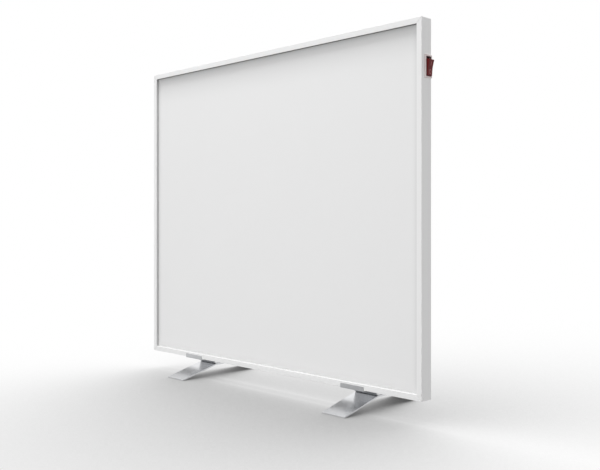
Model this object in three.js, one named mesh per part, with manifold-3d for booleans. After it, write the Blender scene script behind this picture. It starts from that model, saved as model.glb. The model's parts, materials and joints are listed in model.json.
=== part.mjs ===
// A thin infrared panel heater standing on two bent sheet feet.
//
// Millimetres, +Z up. Seen from the front, +X is to the right and the heating face looks towards -Y.
// The origin lies on the floor, under the middle of the whole heater's outer box.
// The panel's own pieces are placed in panel coordinates: x from the middle of the panel,
// y backwards from the frame's front face, z upwards from the frame's bottom edge.

import * as THREE from 'three';
import { mergeVertices } from 'three/addons/utils/BufferGeometryUtils.js';
import Module from 'manifold-3d';

const wasm = await Module();
wasm.setup();

// ---------------------------------------------------------------- driving dimensions

const PANEL_WIDTH = 600;
const PANEL_HEIGHT = 500;
const PANEL_DEPTH = 21;
const FLOOR_CLEARANCE = 31.5;      // floor to the frame's bottom edge

const SEAT = 0.05;                 // between two faces that lie on each other
const CLEAR = 0.3;                 // round a piece that passes through another

// frame rails: a channel with a hooked front lip
const RAIL_FACE = 8;               // width of the front face
const RAIL_WEB = 1.4;              // thickness of the outer wall
const RAIL_LIP = 1.2;              // thickness of the front face and of its hook
const RECESS = 4.4;                // from the front face to the end of the hook
const REAR_FLANGE = 10;            // from the outer edge to the end of the rear flange
const REAR_FLANGE_FRONT = 18.5;
const REAR_FLANGE_BACK = 19.9;
const MITRE_GAP = 0.1;
const KEY_LEG = 32;                // length of a corner key's leg

// heating sandwich, from the front to the back
const PANEL_SHEET = 1;
const SHEET_EDGE = RAIL_WEB + 0.4; // from the frame's outer edge to a sheet's edge
const MICA = 0.4;
const MICA_EDGE = 8;
const FILM = 0.3;
const FILM_EDGE = 20;
const FILM_SLOTS = 11;
const FILM_SLOT_HEIGHT = 3;
const BUSBAR_WIDTH = 10;
const BUSBAR = 0.2;
const FOIL = 0.15;
const BOARD = 11;
const BOARD_EDGE = 12;
const COVER = 1;
const CHANNEL_WIDTH = 14;          // of the lead channels in the board
const RISER_CHANNEL_X = 225;
const CROSS_CHANNEL_Z = 300;
const BRANCH_CHANNEL_Z = 200;
const LIMITER_X = 120;
const LIMITER_RADIUS = 4;

// rocker switch, on the right edge near the top
const SWITCH_Y = 13.4;
const SWITCH_Z = PANEL_HEIGHT - 63.4;
const PIVOT_DEPTH = 7.5;           // from the frame's outer face in to the rocker's pivot
const BEZEL_WIDTH = 14.6;
const BEZEL_HEIGHT = 30;
const BEZEL_STANDOUT = 2;
const MOUTH_WIDTH = 10.4;
const MOUTH_HEIGHT = 26;
const HOUSING_WIDTH = 12;
const HOUSING_HEIGHT = 27.4;
const HOUSING_FLOOR = 1.5;
const HOUSING_REACH = 14.5;        // from the pivot in to the housing's outer floor
const ROCKER_WIDTH = 9.8;
const ROCKER_HALF = 10.6;          // from the pivot's level to a tip
const ROCKER_RISE = 12.9;          // from the pivot out to a tip
const ROCKER_DISH = 0.8;           // hollow between the two facets
const ROCKER_SKIRT = 2.1;
const ROCKER_TILT = 9.5;           // degrees from level, either way
const CONTACT_TILT = 6;
const CONTACT_DEPTH = 8.6;         // from the rocker's pivot in to the contact's
const BLADE_STEP = 8.5;            // between two terminals
const BLADE_END = 24;

// feet
const FOOT_INSET = 119.5;          // from the frame's side edge to the foot's middle
const FOOT_WIDTH = 42;
const FOOT_BEHIND_FACE = 42;       // from the frame's front face to the foot's middle
const LEAF_HALF = 81.5;
const LEAF_THICK = 2;
const LEAF_SLOPE = 14.3;           // degrees
const LEAF_CREST_HALF = 8;
const LEAF_BEND = 20;
const LEAF_TIP = 1.5;              // height of the end faces
const CLIP_THICK = 1.5;
const CLIP_LIP = 5;                // above the frame's bottom edge
const CLIP_FOOT_FRONT = -11;       // where the riser meets the leaf, from the foot's middle
const CLIP_FOOT_BACK = 9;
const FOOT_SCREW_X = 13;
const RIVET_X = 12;
const RIVET_Y = 2;

// junction box on the back
const BOX_X = 225;
const BOX_Z = 85;
const BOX_WIDTH = 84;
const BOX_HEIGHT = 52;
const BOX_DEPTH = 16;
const BOX_WALL = 2;
const GLAND_BORE = 3.6;
const GLAND_NECK = 6;
const LEAD_RADIUS = 1.1;
const LEAD_BEND = 4;
const LEAD_STEP = 3;
const LEAD_HOLE = 6.5;

// faces that follow from these
const HALF_WIDTH = PANEL_WIDTH / 2;
const SHEET_FRONT = RECESS + SEAT;
const MICA_FRONT = SHEET_FRONT + PANEL_SHEET + SEAT;
const FILM_FRONT = MICA_FRONT + MICA + SEAT;
const BUSBAR_FRONT = FILM_FRONT + FILM + SEAT;
const REAR_MICA_FRONT = BUSBAR_FRONT + BUSBAR + SEAT;
const FOIL_FRONT = REAR_MICA_FRONT + MICA + SEAT;
const BOARD_FRONT = FOIL_FRONT + FOIL + SEAT;
const COVER_FRONT = REAR_FLANGE_BACK + SEAT;
const COVER_BACK = COVER_FRONT + COVER;
const BOX_FRONT = COVER_BACK + SEAT;
const LID_FRONT = BOX_FRONT + BOX_DEPTH + SEAT;
const ROCKER_REACH = reachOfTilted(ROCKER_RISE, ROCKER_HALF, ROCKER_TILT);
const STANDOUT = ROCKER_REACH - PIVOT_DEPTH;

// ---------------------------------------------------------------- finishes

const FINISHES = {
  white_paint: [0xf2f2f2, 0.45, 0.0],
  bare_aluminium: [0xc9ccd0, 0.3, 1.0],
  zinc_steel: [0xb4b7ba, 0.4, 1.0],
  red_plastic: [0x7a1416, 0.3, 0.0],
  white_plastic: [0xe6e4e2, 0.5, 0.0],
  black_plastic: [0x202022, 0.55, 0.0],
  brass: [0xc8a24a, 0.3, 1.0],
  copper: [0xb8734a, 0.3, 1.0],
  mica: [0xb9a98c, 0.6, 0.0],
  carbon: [0x1c1c1e, 0.7, 0.0],
  foil: [0xdcdee0, 0.2, 1.0],
  wool: [0xe8e2c8, 0.95, 0.0],
  lamp_glass: [0xf0c8b8, 0.1, 0.0],
  lead_brown: [0x6b4226, 0.5, 0.0],
  lead_blue: [0x2a56a0, 0.5, 0.0],
  lead_green: [0x3c8a3c, 0.5, 0.0],
};

function piece(name, finish, geometry) {
  const [color, roughness, metalness] = FINISHES[finish];
  const mesh = new THREE.Mesh(geometry, new THREE.MeshStandardMaterial({ color, roughness, metalness }));
  mesh.name = name;
  return mesh;
}

// ---------------------------------------------------------------- shapes

function radians(degrees) {
  return THREE.MathUtils.degToRad(degrees);
}

function reachOfTilted(rise, half, tilt) {
  return rise * Math.cos(radians(tilt)) + half * Math.sin(radians(tilt));
}

function box(low, high) {
  const size = high.map((value, i) => value - low[i]);
  const middle = high.map((value, i) => (value + low[i]) / 2);
  return new THREE.BoxGeometry(...size).translate(...middle);
}

// a closed outline, with holes, extruded along one axis between two places on it
function prism(axis, from, to, outline, holes = []) {
  const shape = new THREE.Shape(outline.map(([a, b]) => new THREE.Vector2(a, b)));
  for (const hole of holes) {
    shape.holes.push(new THREE.Path(hole.map(([a, b]) => new THREE.Vector2(a, b))));
  }
  const geometry = new THREE.ExtrudeGeometry(shape, { depth: to - from, bevelEnabled: false });
  if (axis === 'x') {
    geometry.applyMatrix4(new THREE.Matrix4().set(0, 0, 1, from, 1, 0, 0, 0, 0, 1, 0, 0, 0, 0, 0, 1));
  }
  if (axis === 'y') {
    geometry.applyMatrix4(new THREE.Matrix4().set(1, 0, 0, 0, 0, 0, -1, to, 0, 1, 0, 0, 0, 0, 0, 1));
  }
  if (axis === 'z') {
    geometry.translate(0, 0, from);
  }
  return geometry;
}

function rectangle(low, high) {
  return [[low[0], low[1]], [high[0], low[1]], [high[0], high[1]], [low[0], high[1]]];
}

function circle(middle, radius, steps = 16) {
  return Array.from({ length: steps }, (_, i) => {
    const angle = (2 * Math.PI * i) / steps;
    return [middle[0] + radius * Math.cos(angle), middle[1] + radius * Math.sin(angle)];
  });
}

// a turned piece: the profile gives [radius, place on the axis] pairs, from the axis back to the axis
function turned(axis, profile, steps = 12) {
  const geometry = new THREE.LatheGeometry(profile.map(([r, t]) => new THREE.Vector2(r, t)), steps);
  if (axis === 'x') {
    geometry.rotateZ(-Math.PI / 2);
  }
  if (axis === 'z') {
    geometry.rotateX(Math.PI / 2);
  }
  return geometry;
}

function rod(axis, radius, from, to, steps = 16) {
  return turned(axis, [[0, from], [radius, from], [radius, to], [0, to]], steps);
}

// a flat-ended tube of the given section, hexagonal when it has six steps
function ring(outer, inner, from, to, steps = 16) {
  return prism('z', from, to, circle([0, 0], outer, steps), [circle([0, 0], inner, 16)]);
}

function solidOf(geometry) {
  const bare = geometry.clone();
  bare.deleteAttribute('normal');
  bare.deleteAttribute('uv');
  const merged = mergeVertices(bare);
  const vertProperties = new Float32Array(merged.attributes.position.array);
  const triVerts = new Uint32Array(merged.index.array);
  return new wasm.Manifold(new wasm.Mesh({ numProp: 3, vertProperties, triVerts }));
}

function geometryOf(solid) {
  const mesh = solid.getMesh();
  const geometry = new THREE.BufferGeometry();
  geometry.setAttribute('position', new THREE.BufferAttribute(new Float32Array(mesh.vertProperties), 3));
  geometry.setIndex(new THREE.BufferAttribute(new Uint32Array(mesh.triVerts), 1));
  geometry.computeVertexNormals();
  return geometry;
}

function cut(geometry, tools) {
  const left = tools.reduce((solid, tool) => solid.subtract(solidOf(tool)), solidOf(geometry));
  return geometryOf(left);
}

function joined(geometries) {
  const [first, ...others] = geometries.map(solidOf);
  return geometryOf(others.reduce((solid, other) => solid.add(other), first));
}

// the two sides of a sheet that follows a line of corners, each corner rounded
function bentSides(corners, bends, towardsLeft, towardsRight) {
  const left = [];
  const right = [];
  const addSection = (point, direction) => {
    left.push([point.x - direction.y * towardsLeft, point.y + direction.x * towardsLeft]);
    right.push([point.x + direction.y * towardsRight, point.y - direction.x * towardsRight]);
  };
  const points = corners.map(([a, b]) => new THREE.Vector2(a, b));
  const along = points.slice(1).map((point, i) => point.clone().sub(points[i]).normalize());
  addSection(points[0], along[0]);
  for (let i = 1; i < points.length - 1; i += 1) {
    const turn = along[i - 1].cross(along[i]) < 0 ? -1 : 1;
    const angle = Math.acos(along[i - 1].dot(along[i]));
    const start = points[i].clone().addScaledVector(along[i - 1], -bends[i - 1] * Math.tan(angle / 2));
    const inwards = new THREE.Vector2(-along[i - 1].y, along[i - 1].x).multiplyScalar(turn);
    const centre = start.clone().addScaledVector(inwards, bends[i - 1]);
    const steps = Math.max(2, Math.ceil(angle / radians(15)));
    for (let step = 0; step <= steps; step += 1) {
      const turned = (turn * angle * step) / steps;
      const point = start.clone().rotateAround(centre, turned);
      addSection(point, along[i - 1].clone().rotateAround(new THREE.Vector2(), turned));
    }
  }
  addSection(points[points.length - 1], along[along.length - 1]);
  return { left, right };
}

// a cross-head screw along y: its head stands out to the front of where it lies on its seat
function screw(headRadius, headHeight, shankRadius, length) {
  const blank = turned('y', [
    [0, -headHeight],
    [headRadius * 0.7, -headHeight],
    [headRadius, -headHeight * 0.45],
    [headRadius, 0],
    [shankRadius, 0],
    [shankRadius, length - shankRadius],
    [0, length],
  ]);
  const arm = headRadius * 0.55;
  const half = headRadius * 0.14;
  const floor = -headHeight * 0.4;
  return cut(blank, [
    box([-arm, -headHeight - 1, -half], [arm, floor, half]),
    box([-half, -headHeight - 1, -arm], [half, floor, arm]),
  ]);
}

// ---------------------------------------------------------------- frame

// w runs inwards from the rail's outer edge, y backwards from its front face
const RAIL_PROFILE = [
  [0, 0],
  [RAIL_FACE, 0],
  [RAIL_FACE, RECESS],
  [RAIL_FACE - RAIL_LIP, RECESS],
  [RAIL_FACE - RAIL_LIP, RAIL_LIP],
  [RAIL_WEB, RAIL_LIP],
  [RAIL_WEB, REAR_FLANGE_FRONT],
  [REAR_FLANGE, REAR_FLANGE_FRONT],
  [REAR_FLANGE, REAR_FLANGE_BACK],
  [RAIL_WEB, REAR_FLANGE_BACK],
  [RAIL_WEB, PANEL_DEPTH],
  [0, PANEL_DEPTH],
];

// a rail along x whose ends are mitred: further in from the outer edge it is that much shorter
function mitredRail(length) {
  const geometry = prism('z', 0, 1, RAIL_PROFILE);
  const place = geometry.attributes.position;
  for (let i = 0; i < place.count; i += 1) {
    const inwards = place.getX(i);
    const back = place.getY(i);
    const side = place.getZ(i) > 0.5 ? -1 : 1;
    place.setXYZ(i, side * (length / 2 - inwards - MITRE_GAP), back, inwards);
  }
  return geometry;
}

function frameRails() {
  const top = mitredRail(PANEL_WIDTH).rotateY(Math.PI).translate(0, 0, PANEL_HEIGHT);
  const left = mitredRail(PANEL_HEIGHT).rotateY(Math.PI / 2).translate(-HALF_WIDTH, 0, PANEL_HEIGHT / 2);
  const right = mitredRail(PANEL_HEIGHT).rotateY(-Math.PI / 2).translate(HALF_WIDTH, 0, PANEL_HEIGHT / 2);
  return [
    piece('frame_rail_top', 'white_paint', cut(top, coverScrewHoles())),
    piece('frame_rail_bottom', 'white_paint', cut(mitredRail(PANEL_WIDTH), bottomRailHoles())),
    piece('frame_rail_left', 'white_paint', cut(left, coverScrewHoles())),
    piece('frame_rail_right', 'white_paint', cut(right, [...coverScrewHoles(), ...switchCutOut()])),
  ];
}

function bottomRailHoles() {
  const shanks = footScrewPlaces().map(([x, y]) => rod('z', 1.9 + CLEAR, -1, 3).translate(x, y, 0));
  return [...coverScrewHoles(), ...shanks];
}

function switchCutOut() {
  const halfHeight = HOUSING_HEIGHT / 2 + CLEAR;
  const halfWidth = HOUSING_WIDTH / 2 + CLEAR;
  const zRange = [SWITCH_Z - halfHeight, SWITCH_Z + halfHeight];
  const web = box(
    [HALF_WIDTH - 3, SWITCH_Y - halfWidth, zRange[0]],
    [HALF_WIDTH + 1, SWITCH_Y + halfWidth, zRange[1]],
  );
  const flange = box(
    [HALF_WIDTH - REAR_FLANGE - 1, REAR_FLANGE_FRONT - 1, zRange[0]],
    [HALF_WIDTH - RAIL_WEB - 0.5, REAR_FLANGE_BACK + 0.5, zRange[1]],
  );
  return [web, flange];
}

// L-shaped keys lie in the grooves of both rails at a corner
function cornerKeys() {
  const outer = RAIL_WEB + CLEAR;
  const inner = RAIL_FACE - RAIL_LIP - CLEAR;
  const outline = [
    [outer, outer],
    [KEY_LEG, outer],
    [KEY_LEG, inner],
    [inner, inner],
    [inner, KEY_LEG],
    [outer, KEY_LEG],
  ];
  const corners = [
    ['bottom_left', 1, 1],
    ['bottom_right', -1, 1],
    ['top_left', 1, -1],
    ['top_right', -1, -1],
  ];
  return corners.map(([name, xSign, zSign]) => {
    const edgeZ = zSign > 0 ? 0 : PANEL_HEIGHT;
    const placed = outline.map(([a, b]) => [xSign * (a - HALF_WIDTH), edgeZ + zSign * b]);
    return piece(`corner_key_${name}`, 'zinc_steel', prism('y', RAIL_LIP + CLEAR, RECESS - CLEAR, placed));
  });
}

// ---------------------------------------------------------------- heating sandwich

function sheetOutline(edge) {
  return rectangle([edge - HALF_WIDTH, edge], [HALF_WIDTH - edge, PANEL_HEIGHT - edge]);
}

// a sheet whose right edge is notched round the switch housing
function notchedOutline(edge) {
  const notchLeft = HALF_WIDTH - 40;
  const notchLow = SWITCH_Z - 24;
  const notchHigh = SWITCH_Z + 24;
  return [
    [edge - HALF_WIDTH, edge],
    [HALF_WIDTH - edge, edge],
    [HALF_WIDTH - edge, notchLow],
    [notchLeft, notchLow],
    [notchLeft, notchHigh],
    [HALF_WIDTH - edge, notchHigh],
    [HALF_WIDTH - edge, PANEL_HEIGHT - edge],
    [edge - HALF_WIDTH, PANEL_HEIGHT - edge],
  ];
}

// carbon tracks side by side, joined at both ends
function heatingFilm() {
  const low = FILM_EDGE;
  const high = PANEL_HEIGHT - FILM_EDGE;
  const step = (high - low) / (FILM_SLOTS + 1);
  const end = HALF_WIDTH - FILM_EDGE - 2 * BUSBAR_WIDTH;
  const slots = Array.from({ length: FILM_SLOTS }, (_, i) => {
    const z = low + step * (i + 1);
    return rectangle([-end, z - FILM_SLOT_HEIGHT / 2], [end, z + FILM_SLOT_HEIGHT / 2]);
  });
  return prism('y', FILM_FRONT, FILM_FRONT + FILM, sheetOutline(FILM_EDGE), slots);
}

function busbar(side) {
  return box(
    [busbarX(side) - BUSBAR_WIDTH / 2, BUSBAR_FRONT, FILM_EDGE + 4],
    [busbarX(side) + BUSBAR_WIDTH / 2, BUSBAR_FRONT + BUSBAR, PANEL_HEIGHT - FILM_EDGE - 4],
  );
}

// the board is one piece: the lead channels run from the junction box up to the switch's bay,
// with a branch to each busbar
function insulationBoard() {
  const half = CHANNEL_WIDTH / 2;
  const left = BOARD_EDGE - HALF_WIDTH;
  const right = HALF_WIDTH - BOARD_EDGE;
  const riserLeft = RISER_CHANNEL_X - half;
  const riserRight = RISER_CHANNEL_X + half;
  const riserFoot = BOX_Z - 14;
  const branchEnd = busbarX(1) + 8;
  const crossEnd = busbarX(-1) - 8;
  const bayLow = SWITCH_Z - 30;
  const bayHigh = SWITCH_Z + 30;
  return prism('y', BOARD_FRONT, BOARD_FRONT + BOARD, [
    [left, BOARD_EDGE],
    [right, BOARD_EDGE],
    [right, bayLow],
    [riserRight, bayLow],
    [riserRight, BRANCH_CHANNEL_Z + half],
    [branchEnd, BRANCH_CHANNEL_Z + half],
    [branchEnd, BRANCH_CHANNEL_Z - half],
    [riserRight, BRANCH_CHANNEL_Z - half],
    [riserRight, riserFoot],
    [riserLeft, riserFoot],
    [riserLeft, CROSS_CHANNEL_Z - half],
    [crossEnd, CROSS_CHANNEL_Z - half],
    [crossEnd, CROSS_CHANNEL_Z + half],
    [riserLeft, CROSS_CHANNEL_Z + half],
    [riserLeft, bayHigh],
    [right, bayHigh],
    [right, PANEL_HEIGHT - BOARD_EDGE],
    [left, PANEL_HEIGHT - BOARD_EDGE],
  ]);
}

function busbarX(side) {
  return side * (HALF_WIDTH - FILM_EDGE - BUSBAR_WIDTH);
}

// where the leads pass through the sheets to the busbars
function busbarLeadHoles() {
  const places = [[busbarX(-1), CROSS_CHANNEL_Z], [busbarX(1), BRANCH_CHANNEL_Z]];
  return places.map((place) => circle(place, LEAD_RADIUS + CLEAR));
}

function heatingSandwich() {
  return [
    piece('front_panel', 'white_paint',
      prism('y', SHEET_FRONT, SHEET_FRONT + PANEL_SHEET, sheetOutline(SHEET_EDGE))),
    piece('front_insulating_sheet', 'mica',
      prism('y', MICA_FRONT, MICA_FRONT + MICA, sheetOutline(MICA_EDGE))),
    piece('heating_film', 'carbon', heatingFilm()),
    piece('busbar_left', 'copper', busbar(-1)),
    piece('busbar_right', 'copper', busbar(1)),
    piece('rear_insulating_sheet', 'mica',
      prism('y', REAR_MICA_FRONT, REAR_MICA_FRONT + MICA, notchedOutline(MICA_EDGE), busbarLeadHoles())),
    piece('reflector_foil', 'foil',
      prism('y', FOIL_FRONT, FOIL_FRONT + FOIL, notchedOutline(MICA_EDGE + 1), busbarLeadHoles())),
    piece('insulation_board', 'wool', insulationBoard()),
  ];
}

// a flat temperature limiter with round ends, lying in the cross channel
function limiter() {
  const rightEnd = circle([LIMITER_X + 5, CROSS_CHANNEL_Z], LIMITER_RADIUS);
  const leftEnd = circle([LIMITER_X - 5, CROSS_CHANNEL_Z], LIMITER_RADIUS);
  const outline = [...rightEnd.slice(12), ...rightEnd.slice(0, 5), ...leftEnd.slice(4, 13)];
  return piece('thermostat', 'zinc_steel', prism('y', BOARD_FRONT + SEAT, BOARD_FRONT + 4.6, outline));
}

// ---------------------------------------------------------------- rear cover

function coverScrewPlaces() {
  const inset = 6;
  const alongX = 230;
  return [
    [-alongX, inset],
    [alongX, inset],
    [-HALF_WIDTH + inset, PANEL_HEIGHT / 2],
    [HALF_WIDTH - inset, PANEL_HEIGHT / 2],
    [-alongX, PANEL_HEIGHT - inset],
    [alongX, PANEL_HEIGHT - inset],
  ];
}

function coverScrewHoles() {
  return coverScrewPlaces().map(([x, z]) => {
    return rod('y', 1.4 + CLEAR, REAR_FLANGE_FRONT - 1, COVER_BACK + 1).translate(x, 0, z);
  });
}

function rearCover() {
  const holes = coverScrewPlaces().map((place) => circle(place, 1.4 + CLEAR));
  holes.push(circle([BOX_X, BOX_Z + 6], LEAD_HOLE));
  holes.push(circle(earthPlace(), 2 + CLEAR));
  return piece('rear_cover', 'white_paint',
    prism('y', COVER_FRONT, COVER_BACK, sheetOutline(SHEET_EDGE), holes));
}

function coverScrews() {
  return coverScrewPlaces().map(([x, z], i) => {
    const geometry = screw(3, 1.5, 1.4, 6).rotateX(Math.PI).translate(x, COVER_BACK + SEAT, z);
    return piece(`cover_screw_${i + 1}`, 'zinc_steel', geometry);
  });
}

// ---------------------------------------------------------------- rocker switch, about the rocker's pivot

function switchBody() {
  const face = PIVOT_DEPTH + SEAT;
  const bezelTop = PIVOT_DEPTH + BEZEL_STANDOUT;
  const bezel = box(
    [face, -BEZEL_WIDTH / 2, -BEZEL_HEIGHT / 2],
    [bezelTop, BEZEL_WIDTH / 2, BEZEL_HEIGHT / 2],
  );
  const housing = box(
    [-HOUSING_REACH, -HOUSING_WIDTH / 2, -HOUSING_HEIGHT / 2],
    [face + 0.5, HOUSING_WIDTH / 2, HOUSING_HEIGHT / 2],
  );
  const mouth = box(
    [HOUSING_FLOOR - HOUSING_REACH, -MOUTH_WIDTH / 2, -MOUTH_HEIGHT / 2],
    [bezelTop + 1, MOUTH_WIDTH / 2, MOUTH_HEIGHT / 2],
  );
  const bore = rod('y', 1.5 + CLEAR, -HOUSING_WIDTH, HOUSING_WIDTH);
  const slots = [-1, 0, 1].map((i) => box(
    [-HOUSING_REACH - 1, -2.4 - CLEAR, i * BLADE_STEP - 0.4 - CLEAR],
    [HOUSING_FLOOR - HOUSING_REACH + 1, 2.4 + CLEAR, i * BLADE_STEP + 0.4 + CLEAR],
  ));
  return piece('switch_body', 'white_plastic', cut(joined([bezel, housing]), [mouth, bore, ...slots]));
}

// side view of the rocker when it stands level: x outwards, z upwards
function rockerOutline() {
  const skirtHalf = ROCKER_HALF + (ROCKER_RISE - ROCKER_SKIRT) * Math.tan(radians(ROCKER_TILT));
  return [
    [ROCKER_SKIRT, -skirtHalf],
    [ROCKER_RISE, -ROCKER_HALF],
    [ROCKER_RISE - ROCKER_DISH, 0],
    [ROCKER_RISE, ROCKER_HALF],
    [ROCKER_SKIRT, skirtHalf],
  ];
}

function rocker() {
  const body = prism('y', -ROCKER_WIDTH / 2, ROCKER_WIDTH / 2, rockerOutline());
  const hub = rod('y', 3, -ROCKER_WIDTH / 2, ROCKER_WIDTH / 2);
  const trunnions = rod('y', 1.5, -MOUTH_WIDTH / 2 - 0.4, MOUTH_WIDTH / 2 + 0.4);
  const boss = rod('x', 2.4, -4.5, 3);
  const cavities = [-1, 1].map((side) => box(
    [1, -ROCKER_WIDTH / 2 + 1.1, side > 0 ? 4.2 : -9.6],
    [10.8, ROCKER_WIDTH / 2 - 1.1, side > 0 ? 9.6 : -4.2],
  ));
  const springBore = rod('x', 1.4, -5, 8.4);
  const solid = joined([body, hub, trunnions, boss]);
  return piece('switch_rocker', 'red_plastic', cut(solid, [...cavities, springBore]));
}

class Helix extends THREE.Curve {
  constructor(radius, from, to, turns) {
    super();
    Object.assign(this, { radius, from, to, turns });
  }

  getPoint(t, target = new THREE.Vector3()) {
    const angle = 2 * Math.PI * this.turns * t;
    const place = this.from + (this.to - this.from) * t;
    return target.set(place, this.radius * Math.cos(angle), this.radius * Math.sin(angle));
  }
}

function tube(path, radius, sides, steps) {
  const section = new THREE.Shape(circle([0, 0], radius, sides).map(([a, b]) => new THREE.Vector2(a, b)));
  return new THREE.ExtrudeGeometry(section, { steps, extrudePath: path, bevelEnabled: false });
}

function rockerGroup() {
  const group = new THREE.Group();
  group.rotation.y = radians(ROCKER_TILT);
  const lamp = turned('z', [[0, 4.7], [1.1, 4.7], [1.5, 5.3], [1.5, 8.2], [0.8, 9], [0, 9.2]]);
  const plunger = turned('x', [[0, -7.8], [0.7, -7.5], [1.1, -6.8], [1.1, -1.6], [0, -1.6]]);
  group.add(rocker());
  group.add(piece('switch_lamp', 'lamp_glass', lamp.translate(6, 0, 0)));
  group.add(piece('switch_plunger', 'brass', plunger));
  group.add(piece('switch_spring', 'zinc_steel', tube(new Helix(0.9, -1.1, 7.9, 7), 0.2, 5, 70)));
  return group;
}

// the see-saw contact bar tips on the middle terminal, the opposite way to the rocker
function contactGroup() {
  const group = new THREE.Group();
  group.position.x = -CONTACT_DEPTH;
  group.rotation.y = -radians(CONTACT_TILT);
  const corners = [[0.3, -9], [0.3, -6], [0, -3], [0, 3], [0.3, 6], [0.3, 9]];
  const { left, right } = bentSides(corners, [1, 1, 1, 1], 0.4, 0.4);
  group.add(piece('switch_contact', 'brass', prism('y', -2.2, 2.2, [...left, ...right.reverse()])));
  return group;
}

function blades() {
  const inner = { common: 9.5, load: 10.4, lamp: 10.8 };
  const places = { common: 0, load: -BLADE_STEP, lamp: BLADE_STEP };
  return Object.keys(places).map((name) => piece(`switch_blade_${name}`, 'brass', box(
    [-BLADE_END, -2.4, places[name] - 0.4],
    [-inner[name], 2.4, places[name] + 0.4],
  )));
}

function switchGroup() {
  const group = new THREE.Group();
  group.position.set(HALF_WIDTH - PIVOT_DEPTH, SWITCH_Y, SWITCH_Z);
  group.add(switchBody(), rockerGroup(), contactGroup(), ...blades());
  return group;
}

// ---------------------------------------------------------------- junction box, gland and earth

function lidScrewPlaces() {
  const x = BOX_WIDTH / 2 - 6;
  const z = BOX_HEIGHT / 2 - 6;
  return [[BOX_X - x, BOX_Z + z], [BOX_X + x, BOX_Z - z]];
}

function earthPlace() {
  return [BOX_X + 26, BOX_Z + 8];
}

function glandPlace() {
  return [BOX_X, BOX_FRONT + BOX_DEPTH / 2 + BOX_WALL / 2, BOX_Z - BOX_HEIGHT / 2];
}

function junctionBox() {
  const low = [BOX_X - BOX_WIDTH / 2, BOX_FRONT, BOX_Z - BOX_HEIGHT / 2];
  const high = [BOX_X + BOX_WIDTH / 2, BOX_FRONT + BOX_DEPTH, BOX_Z + BOX_HEIGHT / 2];
  const inside = box(
    [low[0] + BOX_WALL, BOX_FRONT + BOX_WALL, low[2] + BOX_WALL],
    [high[0] - BOX_WALL, high[1] + 1, high[2] - BOX_WALL],
  );
  const bosses = lidScrewPlaces().map(([x, z]) => {
    return rod('y', 3.5, BOX_FRONT + 1, BOX_FRONT + BOX_DEPTH).translate(x, 0, z);
  });
  const pilots = lidScrewPlaces().map(([x, z]) => {
    return rod('y', 1.3 + CLEAR, BOX_FRONT + 6, high[1] + 1).translate(x, 0, z);
  });
  const [earthX, earthZ] = earthPlace();
  const wallHole = (radius) => rod('y', radius, BOX_FRONT - 1, BOX_FRONT + BOX_WALL + 1);
  const leadHole = wallHole(LEAD_HOLE).translate(BOX_X, 0, BOX_Z + 6);
  const earthHole = wallHole(4.5).translate(earthX, 0, earthZ);
  const glandHole = rod('z', GLAND_NECK + CLEAR, -1, BOX_WALL + 1).translate(...glandPlace());
  const shell = joined([cut(box(low, high), [inside]), ...bosses]);
  return piece('junction_box', 'white_plastic', cut(shell, [...pilots, leadHole, earthHole, glandHole]));
}

function junctionLid() {
  const outline = rectangle(
    [BOX_X - BOX_WIDTH / 2, BOX_Z - BOX_HEIGHT / 2],
    [BOX_X + BOX_WIDTH / 2, BOX_Z + BOX_HEIGHT / 2],
  );
  const holes = lidScrewPlaces().map((place) => circle(place, 1.3 + CLEAR));
  return piece('junction_box_lid', 'white_plastic',
    prism('y', LID_FRONT, LID_FRONT + BOX_WALL, outline, holes));
}

function lidScrews() {
  return lidScrewPlaces().map(([x, z], i) => {
    const back = LID_FRONT + BOX_WALL + SEAT;
    const geometry = screw(2.8, 1.6, 1.3, 9).rotateX(Math.PI).translate(x, back, z);
    return piece(`lid_screw_${i + 1}`, 'zinc_steel', geometry);
  });
}

// three ports for the leads from above and three for the mains cord from below
function terminalBlock() {
  const low = [BOX_X - 36, BOX_FRONT + BOX_WALL + SEAT, BOX_Z - 10];
  const block = box(low, [low[0] + 30, low[1] + 10, low[2] + 14]);
  const ports = [0, 1, 2].map((i) => rod('z', 1.6, low[2] - 1, low[2] + 15).translate(portX(i), portY(), 0));
  return piece('terminal_block', 'black_plastic', cut(block, ports));
}

function portX(i) {
  return BOX_X - 31 + 10 * i;
}

function portY() {
  return BOX_FRONT + BOX_WALL + 5;
}

function glandGroup() {
  const group = new THREE.Group();
  group.position.set(...glandPlace());
  const flangeTop = -SEAT;
  const body = joined([
    ring(GLAND_NECK, GLAND_BORE, -10.5, BOX_WALL + 4),
    ring(8.6, GLAND_BORE, flangeTop - 4, flangeTop, 6),
  ]);
  const nutBase = flangeTop - 4 - SEAT;
  const nut = joined([
    ring(8.6, GLAND_NECK + CLEAR, nutBase - 7, nutBase, 6),
    ring(7.4, GLAND_BORE, nutBase - 12, nutBase - 6.9),
  ]);
  group.add(piece('gland_body', 'white_plastic', body));
  group.add(piece('gland_nut', 'white_plastic', nut));
  group.add(piece('gland_lock_nut', 'white_plastic',
    ring(7.8, GLAND_NECK + CLEAR, BOX_WALL + SEAT, BOX_WALL + 3, 6)));
  return group;
}

function earthGroup() {
  const group = new THREE.Group();
  const [x, z] = earthPlace();
  group.position.set(x, COVER_FRONT - SEAT, z);
  const stud = turned('y', [[0, -1], [4, -1], [4, 0], [2, 0], [2, 12], [0, 12]]);
  const nutFront = BOX_FRONT - COVER_FRONT + BOX_WALL + SEAT;
  const nut = prism('y', nutFront, nutFront + 3.2, circle([0, 0], 4, 6), [circle([0, 0], 2 + CLEAR)]);
  group.add(piece('earth_stud', 'brass', stud));
  group.add(piece('earth_nut', 'brass', nut));
  return group;
}

// ---------------------------------------------------------------- leads held inside the heater

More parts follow.
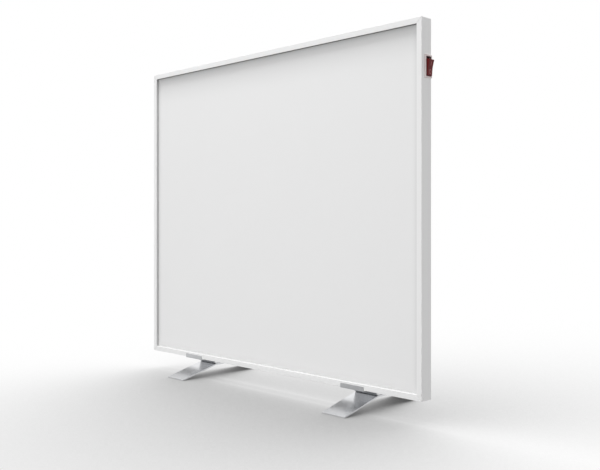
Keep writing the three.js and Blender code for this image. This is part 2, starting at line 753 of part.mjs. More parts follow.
// straight stretches with a round bend at each corner
function leadPath(points) {
  const corners = points.map((p) => new THREE.Vector3(...p));
  const path = new THREE.CurvePath();
  let start = corners[0];
  for (let i = 1; i < corners.length - 1; i += 1) {
    const reach = Math.min(
      LEAD_BEND,
      corners[i].distanceTo(corners[i - 1]) / 2,
      corners[i].distanceTo(corners[i + 1]) / 2,
    );
    const before = corners[i].clone().lerp(corners[i - 1], reach / corners[i].distanceTo(corners[i - 1]));
    const after = corners[i].clone().lerp(corners[i + 1], reach / corners[i].distanceTo(corners[i + 1]));
    path.add(new THREE.LineCurve3(start, before));
    path.add(new THREE.QuadraticBezierCurve3(before, corners[i], after));
    start = after;
  }
  path.add(new THREE.LineCurve3(start, corners[corners.length - 1]));
  return path;
}

function lead(name, finish, points) {
  const path = leadPath(points);
  return piece(name, finish, tube(path, LEAD_RADIUS, 8, Math.ceil(path.getLength() / LEAD_STEP)));
}

function leads() {
  const front = BOARD_FRONT + 2.3;
  const boxY = portY();
  const portTop = BOX_Z + 4 + CLEAR;
  const bladeX = HALF_WIDTH - PIVOT_DEPTH - BLADE_END - CLEAR;
  const loadZ = SWITCH_Z - BLADE_STEP;
  const leftX = RISER_CHANNEL_X - 3;
  const rightX = RISER_CHANNEL_X + 3;
  const busbarBack = BUSBAR_FRONT + BUSBAR + SEAT;
  return [
    lead('lead_live', 'lead_brown', [
      [portX(2), boxY, portTop],
      [portX(2), boxY, portTop + 5],
      [leftX, boxY, portTop + 5],
      [leftX, SWITCH_Y, portTop + 5],
      [leftX, SWITCH_Y, SWITCH_Z],
      [bladeX, SWITCH_Y, SWITCH_Z],
    ]),
    lead('lead_neutral', 'lead_blue', [
      [portX(1), boxY, portTop],
      [portX(1), boxY, portTop + 9.5],
      [rightX, boxY, portTop + 9.5],
      [rightX, boxY, portTop + 2.5],
      [rightX, front, portTop + 2.5],
      [rightX, front, BRANCH_CHANNEL_Z],
      [busbarX(1), front, BRANCH_CHANNEL_Z],
      [busbarX(1), busbarBack, BRANCH_CHANNEL_Z],
    ]),
    lead('lead_switched', 'lead_brown', [
      [bladeX, SWITCH_Y, loadZ],
      [rightX, SWITCH_Y, loadZ],
      [rightX, SWITCH_Y, loadZ - 20],
      [rightX, front, loadZ - 40],
      [rightX, front, CROSS_CHANNEL_Z],
      [LIMITER_X + 9 + CLEAR, front, CROSS_CHANNEL_Z],
    ]),
    lead('lead_heater', 'lead_brown', [
      [LIMITER_X - 9 - CLEAR, front, CROSS_CHANNEL_Z],
      [busbarX(-1), front, CROSS_CHANNEL_Z],
      [busbarX(-1), busbarBack, CROSS_CHANNEL_Z],
    ]),
    lead('lead_earth', 'lead_green', [
      [portX(0), boxY, portTop],
      [portX(0), boxY, portTop + 14.5],
      [earthPlace()[0], boxY, portTop + 14.5],
      [earthPlace()[0], boxY, earthPlace()[1] + 4.5],
      [earthPlace()[0], BOX_FRONT + BOX_WALL + 1.8, earthPlace()[1] + 4.5],
    ]),
  ];
}

// ---------------------------------------------------------------- feet

function footScrewPlaces() {
  const middle = HALF_WIDTH - FOOT_INSET;
  const places = [];
  for (const side of [-1, 1]) {
    for (const offset of [-1, 1]) {
      places.push([side * middle + offset * FOOT_SCREW_X, PANEL_DEPTH / 2]);
    }
  }
  return places;
}

// the leaf is a low arch; its ends are ground flat where they stand on the floor
function leafOutline() {
  const slope = Math.tan(radians(LEAF_SLOPE));
  const bendHalf = LEAF_CREST_HALF + LEAF_BEND * Math.tan(radians(LEAF_SLOPE) / 2);
  const crest = LEAF_TIP + (LEAF_HALF - bendHalf) * slope;
  const corners = [[-LEAF_HALF, LEAF_TIP], [-bendHalf, crest], [bendHalf, crest], [LEAF_HALF, LEAF_TIP]];
  const { left, right } = bentSides(corners, [LEAF_BEND, LEAF_BEND], 0, LEAF_THICK);
  const groundHalf = LEAF_HALF - (LEAF_THICK / Math.cos(radians(LEAF_SLOPE)) - LEAF_TIP) / slope;
  const underside = right.slice(1, -1).reverse();
  return {
    crest,
    outline: [
      [-LEAF_HALF, 0],
      ...left,
      [LEAF_HALF, 0],
      [groundHalf, 0],
      ...underside,
      [-groundHalf, 0],
    ],
  };
}

// the clip hooks over the frame's front edge, runs under it and steps down onto the leaf
function clipOutline(crest) {
  const base = FLOOR_CLEARANCE - SEAT - CLIP_THICK / 2;
  const lipY = -FOOT_BEHIND_FACE - SEAT - CLIP_THICK / 2;
  const foot = crest + SEAT + CLIP_THICK / 2;
  const corners = [
    [lipY, FLOOR_CLEARANCE + CLIP_LIP],
    [lipY, base],
    [PANEL_DEPTH - FOOT_BEHIND_FACE + 0.4, base],
    [CLIP_FOOT_FRONT, foot],
    [CLIP_FOOT_BACK, foot],
  ];
  const { left, right } = bentSides(corners, [CLIP_THICK / 2, 2, 2], CLIP_THICK / 2, CLIP_THICK / 2);
  return [...left, ...right.reverse()];
}

function foot(side, name) {
  const group = new THREE.Group();
  group.position.set(side * (HALF_WIDTH - FOOT_INSET), 0, 0);
  const half = FOOT_WIDTH / 2;
  const { crest, outline } = leafOutline();
  const clip = prism('x', -half, half, clipOutline(crest));
  const leaf = prism('x', -half, half, outline);
  const rivetHole = (x) => rod('z', 1.6 + CLEAR, crest - 5, crest + 5).translate(x, RIVET_Y, 0);
  const screwY = PANEL_DEPTH / 2 - FOOT_BEHIND_FACE;
  const baseLow = FLOOR_CLEARANCE - SEAT - CLIP_THICK;
  const screwHole = (x) => rod('z', 1.9 + CLEAR, baseLow - 1, baseLow + 3).translate(x, screwY, 0);
  group.add(piece(`foot_leaf_${name}`, 'bare_aluminium', cut(leaf, [-RIVET_X, RIVET_X].map(rivetHole))));
  group.add(piece(`foot_clip_${name}`, 'bare_aluminium', cut(clip, [
    ...[-RIVET_X, RIVET_X].map(rivetHole),
    ...[-FOOT_SCREW_X, FOOT_SCREW_X].map(screwHole),
  ])));
  [-1, 1].forEach((offset, i) => {
    const geometry = screw(3.4, 1.8, 1.9, 7).rotateX(Math.PI / 2);
    geometry.translate(offset * FOOT_SCREW_X, screwY, baseLow - SEAT);
    group.add(piece(`foot_screw_${name}_${i + 1}`, 'zinc_steel', geometry));
  });
  [-1, 1].forEach((offset, i) => {
    const rivet = blindRivet(LEAF_THICK + CLIP_THICK + 3 * SEAT);
    rivet.translate(offset * RIVET_X, RIVET_Y, crest + 2 * SEAT + CLIP_THICK);
    group.add(piece(`foot_rivet_${name}_${i + 1}`, 'bare_aluminium', rivet));
  });
  return group;
}

function blindRivet(grip) {
  return turned('z', [
    [0, -grip - 1.2],
    [1.8, -grip - 1.2],
    [2.4, -grip - 0.5],
    [2.4, -grip],
    [1.6, -grip],
    [1.6, 0],
    [3.1, 0],
    [2.6, 0.7],
    [0, 1],
  ]);
}

// ---------------------------------------------------------------- the whole heater

const panel = new THREE.Group();
panel.position.set(0, -FOOT_BEHIND_FACE, FLOOR_CLEARANCE);
panel.add(
  ...frameRails(),
  ...cornerKeys(),
  ...heatingSandwich(),
  limiter(),
  rearCover(),
  ...coverScrews(),
  switchGroup(),
  junctionBox(),
  junctionLid(),
  ...lidScrews(),
  terminalBlock(),
  glandGroup(),
  earthGroup(),
  ...leads(),
);

const heater = new THREE.Group();
heater.position.x = -STANDOUT / 2;
heater.add(panel, foot(-1, 'left'), foot(1, 'right'));

export default heater;
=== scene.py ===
"""Looks for a thin infrared panel heater on two bent sheet feet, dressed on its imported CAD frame.

Metres, +Z up, in the CAD's own frame: +X to the right seen from the front, the front looks to -Y.
"""

import json
import math

import bmesh
import bpy
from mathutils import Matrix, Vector


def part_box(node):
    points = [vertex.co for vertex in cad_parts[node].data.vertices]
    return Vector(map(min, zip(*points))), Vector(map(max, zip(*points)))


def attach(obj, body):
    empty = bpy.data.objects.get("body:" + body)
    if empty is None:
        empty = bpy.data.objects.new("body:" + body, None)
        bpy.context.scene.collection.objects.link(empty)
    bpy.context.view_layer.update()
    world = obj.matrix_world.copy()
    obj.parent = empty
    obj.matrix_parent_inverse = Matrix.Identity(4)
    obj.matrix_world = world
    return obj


MM = 0.001

# camera, solved from the panel's own edges in the photograph
CAMERA_PLACE = (0.9223, -0.8886, 0.2651)
CAMERA_TURN = math.radians(45.07)
CAMERA_SENSOR = 36.0
CAMERA_LENS = 48.21
CAMERA_SHIFT_Y = -0.0222

# how far the rails cover the front panel's edge
PANEL_COVERED = 6.2 * MM

# the shade painted on the front panel: its reach from each rail and from the top one, their
# shares of it, and the panel's colour where both are full, as a share of its own
CORNER_SHADE = 14 * MM
TOP_SHADE = 50 * MM
CORNER_SHARE = 0.55
TOP_SHARE = 0.45
PANEL_DARKEST = 0.6

# painted shade on each rail's wall from its lip back to the panel: where it starts, is full and ends
# behind the frame's front, how far past the opening's edge it holds, and the wall's share of the paint
WALL_START = 0.4 * MM
WALL_FULL = 1.4 * MM
WALL_END = 6 * MM
WALL_SLACK = 0.4 * MM
WALL_SHADE_SHARES = {"top": 0.12, "left": 0.6, "right": 0.6, "bottom": 0.88}

# the switch's mouth, where its body carries painted shade, and the rocker's tilt at rest and outline when level
MOUTH_WIDTH = 10.4 * MM
MOUTH_HEIGHT = 26 * MM
ROCKER_TILT = math.radians(9.5)
ROCKER_RISE = 12.9 * MM
ROCKER_HALF = 10.6 * MM
ROCKER_DISH = 0.8 * MM

# the marks on the rocker: half width and half height of each outline, and their place
RING_OUTER = (2.3 * MM, 2.9 * MM)
RING_INNER = (1.6 * MM, 2.2 * MM)
RING_STEPS = 32
BAR_HALF = (0.4 * MM, 2.6 * MM)
MARK_MIDDLE = 5.3 * MM
MARK_LIFT = 0.05 * MM

# an edge sharper than this is rounded and stays an edge, by a width for each kind of piece
SHARP_ANGLE = math.radians(35)
EDGE_SEGMENTS = 3
WELD_GAP = 0.002 * MM
EDGE_WIDTHS = {
    "frame_rail": 0.3 * MM,
    "foot_leaf": 0.25 * MM,
    "foot_clip": 0.25 * MM,
    "switch_body": 0.5 * MM,
    "switch_rocker": 0.45 * MM,
    "junction_box": 0.8 * MM,
    "gland": 0.3 * MM,
    "rear_cover": 0.2 * MM,
}

# paint, plastic and sheet colours as sRGB values from 0 to 255, sheets from dark to light
PAINT = (241, 241, 241)
PANEL_PAINT = (239, 239, 239)
WHITE_PLASTIC = (226, 226, 223)
BEZEL_PLASTIC = (224, 213, 212)
# painted shade in the switch's mouth, not the plastic's own colour
MOUTH_PAINTED_SHADE = (34, 22, 22)
ROCKER_RED = (96, 20, 23)
MARK_PINK = (176, 112, 113)
LEAF_SHEET = ((230, 231, 233), (238, 239, 241))
CLIP_SHEET = ((190, 191, 193), (202, 203, 205))
STAGE_PAPER = (150, 150, 150)

# light from all round, where 1 is white
WORLD_LIGHT = 0.3

# each lamp: name, place, target, width, height and power in watts. The strip overhead shades the
# panel under the top rail, and the low ones light the other sides.
SOFTBOXES = (
    ("overhead", (0.0, -0.66, 3.2), (0.0, -0.66, 0.0), 1.2, 0.9, 81.0),
    ("front", (-0.2, -2.6, 0.5), (0.0, 0.0, 0.25), 2.2, 0.9, 29.0),
    ("side", (2.2, 0.2, 0.45), (0.3, 0.0, 0.25), 1.2, 1.2, 11.5),
    ("back", (0.0, 2.6, 0.8), (0.0, 0.0, 0.25), 2.2, 1.6, 25.0),
    ("far_side", (-2.4, 0.3, 0.35), (-0.3, 0.0, 0.25), 1.4, 1.4, 11.0),
)

# the floor, a hair below the feet. Its shade leans away from the light, and is a little deeper
# than plain occlusion.
FLOOR_RADIUS = 6.0
FLOOR_SEGMENTS = 96
FLOOR_DROP = 0.05 * MM
SHADE_REACH = 2.0
SHADE_LEAN = (-0.8, 0.3, 1.0)
SHADE_DEPTH = 1.2


# ---------------------------------------------------------------- materials


def linear(color):
    """An sRGB colour from 0 to 255 as a linear RGBA value."""
    parts = [c / 255 for c in color]
    return [c / 12.92 if c <= 0.04045 else ((c + 0.055) / 1.055) ** 2.4 for c in parts] + [1.0]


def scaled(color, factor):
    """A linear colour made darker or lighter, but no lighter than white."""
    return [min(1.0, c * factor) for c in color[:3]] + [1.0]


class Finish:
    """A node material round one Principled shader."""

    def __init__(self, name, roughness, metallic=0.0):
        self.material = bpy.data.materials.new(name)
        self.material.use_nodes = True
        self.nodes = self.material.node_tree.nodes
        self.links = self.material.node_tree.links
        self.shader = self.nodes["Principled BSDF"]
        self.shader.inputs["Roughness"].default_value = roughness
        self.shader.inputs["Metallic"].default_value = metallic
        self.place = self.nodes.new("ShaderNodeTexCoord").outputs["Object"]

    def stretched(self, factors):
        """The object's coordinates, multiplied along each axis."""
        mapping = self.nodes.new("ShaderNodeMapping")
        mapping.inputs["Scale"].default_value = factors
        self.links.new(self.place, mapping.inputs["Vector"])
        return mapping.outputs["Vector"]

    def noise(self, scale, detail=4.0, place=None):
        node = self.nodes.new("ShaderNodeTexNoise")
        node.inputs["Scale"].default_value = scale
        node.inputs["Detail"].default_value = detail
        self.links.new(place or self.place, node.inputs["Vector"])
        return node.outputs["Fac"]

    def ramp(self, value, low, high, start=0.3, end=0.7):
        node = self.nodes.new("ShaderNodeValToRGB")
        node.color_ramp.elements[0].position = start
        node.color_ramp.elements[1].position = end
        node.color_ramp.elements[0].color = low
        node.color_ramp.elements[1].color = high
        self.links.new(value, node.inputs["Fac"])
        return node.outputs["Color"]

    def spread(self, value, low, high):
        """The value's middle range, mapped to low to high."""
        node = self.nodes.new("ShaderNodeMapRange")
        node.inputs["From Min"].default_value = 0.3
        node.inputs["From Max"].default_value = 0.7
        node.inputs["To Min"].default_value = low
        node.inputs["To Max"].default_value = high
        self.links.new(value, node.inputs["Value"])
        return node.outputs["Result"]

    def math(self, operation, first, second=0.0):
        """The operation's result for a socket and, where it takes two, a second socket or number."""
        node = self.nodes.new("ShaderNodeMath")
        node.operation = operation
        self.links.new(first, node.inputs[0])
        if isinstance(second, float):
            node.inputs[1].default_value = second
        else:
            self.links.new(second, node.inputs[1])
        return node.outputs["Value"]

    def along(self, axis):
        """The object's coordinate on one axis."""
        split = self.nodes.new("ShaderNodeSeparateXYZ")
        self.links.new(self.place, split.inputs["Vector"])
        return split.outputs[axis]

    def between(self, value, start, end):
        """How far the value has come from start to end, from 0 to 1."""
        node = self.nodes.new("ShaderNodeMapRange")
        node.inputs["From Min"].default_value = start
        node.inputs["From Max"].default_value = end
        self.links.new(value, node.inputs["Value"])
        return node.outputs["Result"]

    def coat_surface(self):
        """The satin sheen and fine orange peel of powder coat."""
        self.roughness(self.spread(self.noise(60.0), 0.38, 0.47))
        self.bump(self.noise(1400.0, 2.0), 0.10, 0.05 * MM)
        self.shader.inputs["Specular IOR Level"].default_value = 0.4

    def off_center(self, axis, middle):
        """The distance from a middle plane along one axis."""
        return self.math("ABSOLUTE", self.math("SUBTRACT", self.along(axis), middle))

    def color(self, value):
        self.links.new(value, self.shader.inputs["Base Color"])

    def roughness(self, value):
        self.links.new(value, self.shader.inputs["Roughness"])

    def bump(self, height, strength, distance):
        node = self.nodes.new("ShaderNodeBump")
        node.inputs["Strength"].default_value = strength
        node.inputs["Distance"].default_value = distance
        self.links.new(height, node.inputs["Height"])
        self.links.new(node.outputs["Normal"], self.shader.inputs["Normal"])


def powder_coat():
    """White powder coat: satin, with the faint orange peel that such paint has."""
    finish = Finish("powder_coat", 0.42)
    cloud = finish.noise(9.0, 3.0)
    finish.color(finish.ramp(cloud, scaled(linear(PAINT), 0.985), linear(PAINT)))
    finish.coat_surface()
    return finish.material


def front_opening():
    """The opening inside the rails, seen from the front: each axis with its middle and half size."""
    low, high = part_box("front_panel")
    spans = (("X", low[0], high[0]), ("Z", low[2], high[2]))
    return [(axis, (start + end) / 2, (end - start) / 2 - PANEL_COVERED) for axis, start, end in spans]


def panel_coat_and_painted_shade():
    """The same coat on the front panel, with painted shade where it meets the rails, and most under the top one.
    """
    finish = Finish("panel_coat_and_painted_shade", 0.42)
    sides = []
    for axis, middle, half in front_opening():
        sides.append(finish.between(finish.off_center(axis, middle), half - CORNER_SHADE, half))
    top = middle + half
    # painted shade, darkest near each rail and under the top one
    corner = finish.math("POWER", finish.math("MAXIMUM", *sides), 2.5)
    under_top = finish.math("POWER", finish.between(finish.along("Z"), top - TOP_SHADE, top), 1.5)
    cloud = finish.math("MULTIPLY", finish.noise(9.0, 3.0), 0.03)
    shade = finish.math("MULTIPLY", corner, CORNER_SHARE)
    shade = finish.math("ADD", shade, finish.math("MULTIPLY", under_top, TOP_SHARE))
    shade = finish.math("ADD", shade, cloud)
    plain = linear(PANEL_PAINT)
    finish.color(finish.ramp(shade, plain, scaled(plain, PANEL_DARKEST), 0.0, 1.0))
    finish.coat_surface()
    return finish.material


def coat_rail_with_painted_shade(name, wall_shade_share):
    """The same coat on a rail, with painted shade on the wall that runs from its lip back to the front panel."""
    finish = Finish(name, 0.42)
    low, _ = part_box("frame_rail_top")
    depth = finish.along("Y")
    # painted shade on the wall behind the lip, only inside the opening
    wall = finish.between(depth, low[1] + WALL_START, low[1] + WALL_FULL)
    wall = finish.math("MULTIPLY", wall, finish.math("LESS_THAN", depth, low[1] + WALL_END))
    for axis, middle, half in front_opening():
        within = finish.math("LESS_THAN", finish.off_center(axis, middle), half + WALL_SLACK)
        wall = finish.math("MULTIPLY", wall, within)
    cloud = finish.math("MULTIPLY", finish.noise(9.0, 3.0), 0.04)
    shade = finish.math("ADD", wall, cloud)
    finish.color(finish.ramp(shade, linear(PAINT), scaled(linear(PAINT), wall_shade_share), 0.0, 1.0))
    finish.coat_surface()
    return finish.material


def rolled_aluminium(name, sheet, roughness):
    """Mill-finish sheet with its rolling grain along the foot."""
    finish = Finish(name, roughness, 1.0)
    grain = finish.noise(1.0, 5.0, finish.stretched((1800.0, 40.0, 1800.0)))
    stain = finish.noise(45.0, 3.0)
    dark, light = sheet
    finish.color(finish.ramp(stain, linear(dark), linear(light)))
    finish.roughness(finish.spread(grain, roughness * 0.85, roughness * 1.2))
    finish.bump(grain, 0.03, 0.02 * MM)
    return finish.material


def zinc_plate():
    """Plated steel with its faint spangle."""
    finish = Finish("zinc_plate", 0.35, 1.0)
    spangle = finish.noise(700.0, 3.0)
    finish.color(finish.ramp(spangle, linear((168, 170, 172)), linear((192, 194, 196))))
    finish.roughness(finish.spread(finish.noise(1500.0, 3.0), 0.28, 0.45))
    finish.bump(spangle, 0.08, 0.02 * MM)
    return finish.material


def moulded_plastic(name, color, roughness, shine=0.5):
    """Moulded plastic: a very fine spark texture and a little unevenness in its colour."""
    finish = Finish(name, roughness)
    cloud = finish.noise(180.0, 3.0)
    finish.color(finish.ramp(cloud, scaled(linear(color), 0.94), linear(color)))
    finish.roughness(finish.spread(finish.noise(900.0, 3.0), roughness * 0.85, roughness * 1.15))
    finish.bump(finish.noise(4000.0, 2.0), 0.12, 0.02 * MM)
    finish.shader.inputs["Specular IOR Level"].default_value = shine
    return finish.material


def switch_plastic_and_painted_shade(center):
    """The switch body: a pale bezel round a mouth painted dark as shade, so that the gap beside the rocker is
    dark.
    """
    finish = Finish("switch_plastic_and_painted_shade", 0.4)
    inside = []
    for axis, middle, size in (("Y", center.y, MOUTH_WIDTH), ("Z", center.z, MOUTH_HEIGHT)):
        inside.append(finish.math("LESS_THAN", finish.off_center(axis, middle), size / 2))
    # painted shade: dark inside the mouth
    mouth = finish.math("MULTIPLY", *inside)
    finish.color(finish.ramp(mouth, linear(BEZEL_PLASTIC), linear(MOUTH_PAINTED_SHADE)))
    finish.roughness(finish.spread(finish.noise(900.0, 3.0), 0.34, 0.46))
    finish.bump(finish.noise(4000.0, 2.0), 0.12, 0.02 * MM)
    return finish.material


def soft_metal(name, dark, light, roughness):
    """Brass or copper, slightly tarnished in patches."""
    finish = Finish(name, roughness, 1.0)
    patches = finish.noise(260.0, 4.0)
    finish.color(finish.ramp(patches, linear(dark), linear(light)))
    finish.roughness(finish.spread(patches, roughness * 1.3, roughness * 0.8))
    finish.bump(finish.noise(2500.0, 2.0), 0.06, 0.02 * MM)
    return finish.material


def fibre_board():
    """Pressed mineral fibre with matted strands."""
    finish = Finish("fibre_board", 0.95)
    strands = finish.noise(1.0, 6.0, finish.stretched((900.0, 500.0, 260.0)))
    finish.color(finish.ramp(strands, linear((198, 188, 156)), linear((234, 227, 204))))
    finish.bump(strands, 0.6, 0.4 * MM)
    return finish.material


def mica_sheet():
    """Pressed mica flakes."""
    finish = Finish("mica_sheet", 0.55)
    flakes = finish.nodes.new("ShaderNodeTexVoronoi")
    flakes.inputs["Scale"].default_value = 220.0
    finish.links.new(finish.place, flakes.inputs["Vector"])
    spread = flakes.outputs["Distance"]
    finish.color(finish.ramp(spread, linear((196, 176, 138)), linear((166, 146, 112))))
    finish.bump(spread, 0.1, 0.05 * MM)
    return finish.material


def carbon_print():
    """Matt printed carbon."""
    finish = Finish("carbon_print", 0.7)
    grain = finish.noise(1600.0, 4.0)
    finish.color(finish.ramp(grain, linear((22, 22, 24)), linear((42, 42, 44))))
    finish.bump(grain, 0.2, 0.03 * MM)
    return finish.material


def bright_foil():
    """Foil with soft creases."""
    finish = Finish("bright_foil", 0.22, 1.0)
    creases = finish.noise(55.0, 6.0)
    finish.color(finish.ramp(creases, linear((216, 218, 220)), linear((236, 238, 240))))
    finish.bump(creases, 0.5, 0.4 * MM)
    return finish.material


def lamp_glass():
    """The small lamp's bulb, tinted by the rocker round it."""
    finish = Finish("lamp_glass", 0.08)
    finish.color(finish.ramp(finish.noise(600.0), linear((246, 206, 190)), linear((250, 222, 208))))
    finish.roughness(finish.spread(finish.noise(1200.0), 0.05, 0.12))
    finish.shader.inputs["Transmission Weight"].default_value = 0.6
    return finish.material


def slot_materials():
    """One material for each slot of the record."""
    return {
        "white_paint": powder_coat(),
        "bare_aluminium": rolled_aluminium("rolled_aluminium", LEAF_SHEET, 0.24),
        "zinc_steel": zinc_plate(),
        "red_plastic": moulded_plastic("red_plastic", ROCKER_RED, 0.34, 0.2),
        "white_plastic": moulded_plastic("white_plastic", WHITE_PLASTIC, 0.45),
        "black_plastic": moulded_plastic("black_plastic", (34, 34, 36), 0.5),
        "brass": soft_metal("brass", (168, 132, 62), (206, 170, 92), 0.3),
        "copper": soft_metal("copper", (160, 98, 66), (198, 132, 96), 0.35),
        "mica": mica_sheet(),
        "carbon": carbon_print(),
        "foil": bright_foil(),
        "wool": fibre_board(),
        "lamp_glass": lamp_glass(),
        "lead_brown": moulded_plastic("lead_brown", (110, 66, 40), 0.45),
        "lead_blue": moulded_plastic("lead_blue", (42, 88, 160), 0.45),
        "lead_green": moulded_plastic("lead_green", (62, 140, 62), 0.45),
    }


def node_materials():
    """Finishes of single nodes, which differ from their slot's; some carry painted shade."""
    low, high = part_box("switch_body")
    clip = rolled_aluminium("bent_aluminium", CLIP_SHEET, 0.36)
    finishes = {"foot_clip_left": clip, "foot_clip_right": clip, "front_panel": panel_coat_and_painted_shade()}
    for side, wall_shade_share in WALL_SHADE_SHARES.items():
        finishes["frame_rail_" + side] = coat_rail_with_painted_shade(side + "_rail_painted_shade_coat", wall_shade_share)
    finishes["switch_body"] = switch_plastic_and_painted_shade((Vector(low) + Vector(high)) / 2)
    return finishes


# ---------------------------------------------------------------- soft edges on the CAD nodes


def smooth_shading():
    """A node group that shades a mesh smooth, but keeps its sharp edges."""
    group = bpy.data.node_groups.new("smooth_shading", "GeometryNodeTree")
    group.interface.new_socket("Geometry", in_out="INPUT", socket_type="NodeSocketGeometry")
    group.interface.new_socket("Geometry", in_out="OUTPUT", socket_type="NodeSocketGeometry")
    entry = group.nodes.new("NodeGroupInput")
    leave = group.nodes.new("NodeGroupOutput")
    plain = group.nodes.new("GeometryNodeSetMeshNormal")
    faces = group.nodes.new("GeometryNodeSetShadeSmooth")
    edges = group.nodes.new("GeometryNodeSetShadeSmooth")
    edges.domain = "EDGE"
    edges.inputs["Shade Smooth"].default_value = False
    angle = group.nodes.new("GeometryNodeInputMeshEdgeAngle")
    sharp = group.nodes.new("FunctionNodeCompare")
    sharp.operation = "GREATER_THAN"
    sharp.inputs["B"].default_value = SHARP_ANGLE
    group.links.new(entry.outputs[0], plain.inputs["Mesh"])
    group.links.new(plain.outputs["Mesh"], faces.inputs["Geometry"])
    group.links.new(faces.outputs["Geometry"], edges.inputs["Geometry"])
    group.links.new(angle.outputs["Unsigned Angle"], sharp.inputs["A"])
    group.links.new(sharp.outputs["Result"], edges.inputs["Selection"])
    group.links.new(edges.outputs["Geometry"], leave.inputs[0])
    return group


def soften(piece, width, shading):
    """Rounds a piece's sharp edges and shades its round faces smooth."""
    weld = piece.modifiers.new("weld", "WELD")
    weld.merge_threshold = WELD_GAP
    if width > 0:
        bevel = piece.modifiers.new("bevel", "BEVEL")
        bevel.limit_method = "ANGLE"
        bevel.angle_limit = SHARP_ANGLE
        bevel.width = width
        bevel.segments = EDGE_SEGMENTS
    piece.modifiers.new("shading", "NODES").node_group = shading
    normals = piece.modifiers.new("normals", "WEIGHTED_NORMAL")
    normals.keep_sharp = True


def dress_nodes(frame, by_slot, by_node):
    """Gives every node its own finish or its slot's, and softens its edges."""
    shading = smooth_shading()
    for part in frame["record"]["subparts"]:
        node = part["node"]
        piece = frame["nodes"][node]
        piece.material_slots[0].material = by_node.get(node, by_slot[part["material_slot"]])
        widths = [width for start, width in EDGE_WIDTHS.items() if node.startswith(start)]
        soften(piece, widths[0] if widths else 0.0, shading)


# ---------------------------------------------------------------- marks on the rocker


def rocker_place(pivot, along, out, up):
    """A point given about the level rocker's pivot, turned with the rocker's rest tilt."""
    x = out * math.cos(ROCKER_TILT) + up * math.sin(ROCKER_TILT)
    z = -out * math.sin(ROCKER_TILT) + up * math.cos(ROCKER_TILT)
    return pivot + Vector((x, along, z))


def facet_out(up):
    """How far out the level rocker's face lies at a height above or below its pivot."""
    return ROCKER_RISE - ROCKER_DISH * (1 - abs(up) / ROCKER_HALF)


def mark(name, outer, inner, middle, pivot, material):
    """A mark printed on a facet: a flat band between two outlines, or a filled outline."""
    mesh = bmesh.new()

    def corner(point, height):
        up = middle + point[1]
        return mesh.verts.new(rocker_place(pivot, point[0], facet_out(up) + height, up))

    outlines = [rim for rim in (outer, inner) if rim]
    levels = (-MARK_LIFT, MARK_LIFT)
    rims = [[[corner(point, height) for point in rim] for height in levels] for rim in outlines]
    count = len(outer)
    for i in range(count):
        j = (i + 1) % count
        for low, high in rims:
            mesh.faces.new((low[i], low[j], high[j], high[i]))
        if inner:
            for wide, narrow in zip(*rims):
                mesh.faces.new((wide[i], wide[j], narrow[j], narrow[i]))
    if not inner:
        for rim in rims[0]:
            mesh.faces.new(rim)
    bmesh.ops.recalc_face_normals(mesh, faces=mesh.faces)
    data = bpy.data.meshes.new(name)
    mesh.to_mesh(data)
    mesh.free()
    data.materials.append(material)
    piece = bpy.data.objects.new(name, data)
    bpy.context.scene.collection.objects.link(piece)
    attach(piece, "rocker")


def oval(half_width, half_height):
    turns = [2 * math.pi * i / RING_STEPS for i in range(RING_STEPS)]
    return [(half_width * math.cos(a), half_height * math.sin(a)) for a in turns]


def oblong(half_width, half_height):
    signs = ((-1, -1), (1, -1), (1, 1), (-1, 1))
    return [(x * half_width, y * half_height) for x, y in signs]


def rocker_marks(frame):
    """A ring on the rocker's lower facet and a bar on its upper one."""
    joint = next(j for j in frame["joints"] if j["name"] == "rocker_tilt")
    pivot = Vector(joint["pos_m"])
    material = moulded_plastic("mark_print", MARK_PINK, 0.4, 0.2)
    mark("mark_off", oval(*RING_OUTER), oval(*RING_INNER), -MARK_MIDDLE, pivot, material)
    mark("mark_on", oblong(*BAR_HALF), None, MARK_MIDDLE, pivot, material)


# ---------------------------------------------------------------- stage, light and camera


def seen_directly(nodes, links):
    """1 for rays of the camera, a reflection or a view through glass, and 0 for other light."""
    path = nodes.new("ShaderNodeLightPath")
    seen = path.outputs["Is Camera Ray"]
    for name in ("Is Glossy Ray", "Is Transmission Ray"):
        either = nodes.new("ShaderNodeMath")
        either.operation = "MAXIMUM"
        links.new(seen, either.inputs[0])
        links.new(path.outputs[name], either.inputs[1])
        seen = either.outputs["Value"]
    return seen


def stage_material():
    """White paper. The camera and reflections see it white, darkened only where the object shades it."""
    material = bpy.data.materials.new("stage_paper")
    material.use_nodes = True
    nodes = material.node_tree.nodes
    links = material.node_tree.links
    nodes.clear()
    paper = nodes.new("ShaderNodeBsdfDiffuse")
    paper.inputs["Color"].default_value = linear(STAGE_PAPER)
    lean = nodes.new("ShaderNodeCombineXYZ")
    for axis, value in zip("XYZ", Vector(SHADE_LEAN).normalized()):
        lean.inputs[axis].default_value = value
    shade = nodes.new("ShaderNodeAmbientOcclusion")
    shade.inputs["Distance"].default_value = SHADE_REACH
    links.new(lean.outputs["Vector"], shade.inputs["Normal"])
    white = nodes.new("ShaderNodeEmission")
    deeper = nodes.new("ShaderNodeGamma")
    deeper.inputs["Gamma"].default_value = SHADE_DEPTH
    links.new(shade.outputs["Color"], deeper.inputs["Color"])
    links.new(deeper.outputs["Color"], white.inputs["Color"])
    mix = nodes.new("ShaderNodeMixShader")
    links.new(seen_directly(nodes, links), mix.inputs["Fac"])
    links.new(paper.outputs["BSDF"], mix.inputs[1])
    links.new(white.outputs["Emission"], mix.inputs[2])
    out = nodes.new("ShaderNodeOutputMaterial")
    links.new(mix.outputs["Shader"], out.inputs["Surface"])
    return material


def build_floor():
    """A round floor under the heater."""
    mesh = bmesh.new()
    bmesh.ops.create_circle(mesh, cap_ends=True, radius=FLOOR_RADIUS, segments=FLOOR_SEGMENTS)
    data = bpy.data.meshes.new("stage_floor")
    mesh.to_mesh(data)
    mesh.free()
    data.materials.append(stage_material())
    floor = bpy.data.objects.new("stage_floor", data)
    floor.location.z = -FLOOR_DROP
    bpy.context.scene.collection.objects.link(floor)


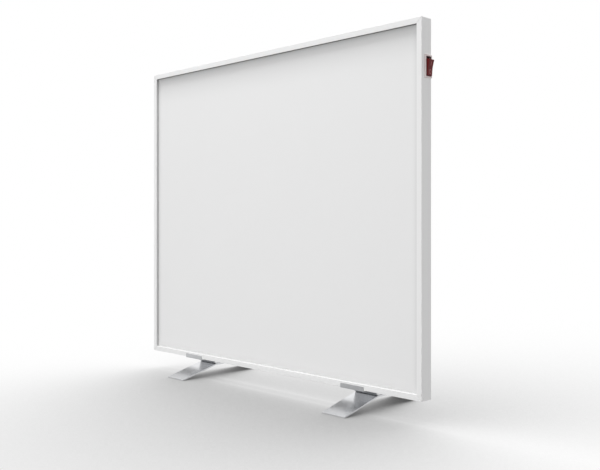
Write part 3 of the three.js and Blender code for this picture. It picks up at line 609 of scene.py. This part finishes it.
def build_world():
    """Even white surroundings. The camera and reflections see them at full white."""
    world = bpy.data.worlds.new("studio")
    bpy.context.scene.world = world
    world.use_nodes = True
    nodes = world.node_tree.nodes
    links = world.node_tree.links
    lit = nodes["Background"]
    lit.inputs["Color"].default_value = (1.0, 1.0, 1.0, 1.0)
    lit.inputs["Strength"].default_value = WORLD_LIGHT
    white = nodes.new("ShaderNodeBackground")
    white.inputs["Color"].default_value = (1.0, 1.0, 1.0, 1.0)
    white.inputs["Strength"].default_value = 1.0
    mix = nodes.new("ShaderNodeMixShader")
    links.new(seen_directly(nodes, links), mix.inputs["Fac"])
    links.new(lit.outputs["Background"], mix.inputs[1])
    links.new(white.outputs["Background"], mix.inputs[2])
    links.new(mix.outputs["Shader"], nodes["World Output"].inputs["Surface"])


def softbox(name, place, target, width, height, power):
    """An area lamp that reflections don't show."""
    data = bpy.data.lights.new(name, "AREA")
    data.shape = "RECTANGLE"
    data.size = width
    data.size_y = height
    data.energy = power
    light = bpy.data.objects.new(name, data)
    light.location = place
    light.rotation_mode = "QUATERNION"
    aim = Vector(target) - Vector(place)
    light.rotation_quaternion = aim.to_track_quat("-Z", "Y")
    light.visible_glossy = False
    bpy.context.scene.collection.objects.link(light)


def build_camera():
    """The photograph's camera: level, and turned to face the panel's corner."""
    data = bpy.data.cameras.new("camera")
    data.sensor_fit = "HORIZONTAL"
    data.sensor_width = CAMERA_SENSOR
    data.lens = CAMERA_LENS
    data.shift_y = CAMERA_SHIFT_Y
    camera = bpy.data.objects.new("camera", data)
    camera.location = CAMERA_PLACE
    camera.rotation_euler = (math.radians(90), 0.0, CAMERA_TURN)
    bpy.context.scene.collection.objects.link(camera)
    bpy.context.scene.camera = camera


# ---------------------------------------------------------------- the whole scene


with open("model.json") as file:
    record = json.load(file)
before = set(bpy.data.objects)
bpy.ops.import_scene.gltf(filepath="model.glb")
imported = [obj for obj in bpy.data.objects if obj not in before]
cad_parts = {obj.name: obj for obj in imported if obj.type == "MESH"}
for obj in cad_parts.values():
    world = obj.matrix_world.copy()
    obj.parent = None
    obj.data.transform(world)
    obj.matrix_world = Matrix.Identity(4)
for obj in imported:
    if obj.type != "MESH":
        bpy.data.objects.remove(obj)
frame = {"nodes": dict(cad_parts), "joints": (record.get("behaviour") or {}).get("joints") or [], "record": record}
bpy.context.view_layer.update()
dress_nodes(frame, slot_materials(), node_materials())
rocker_marks(frame)
build_floor()
build_world()
for lamp in SOFTBOXES:
    softbox(*lamp)
build_camera()
bpy.context.scene.view_settings.view_transform = "Standard"
bpy.context.view_layer.update()
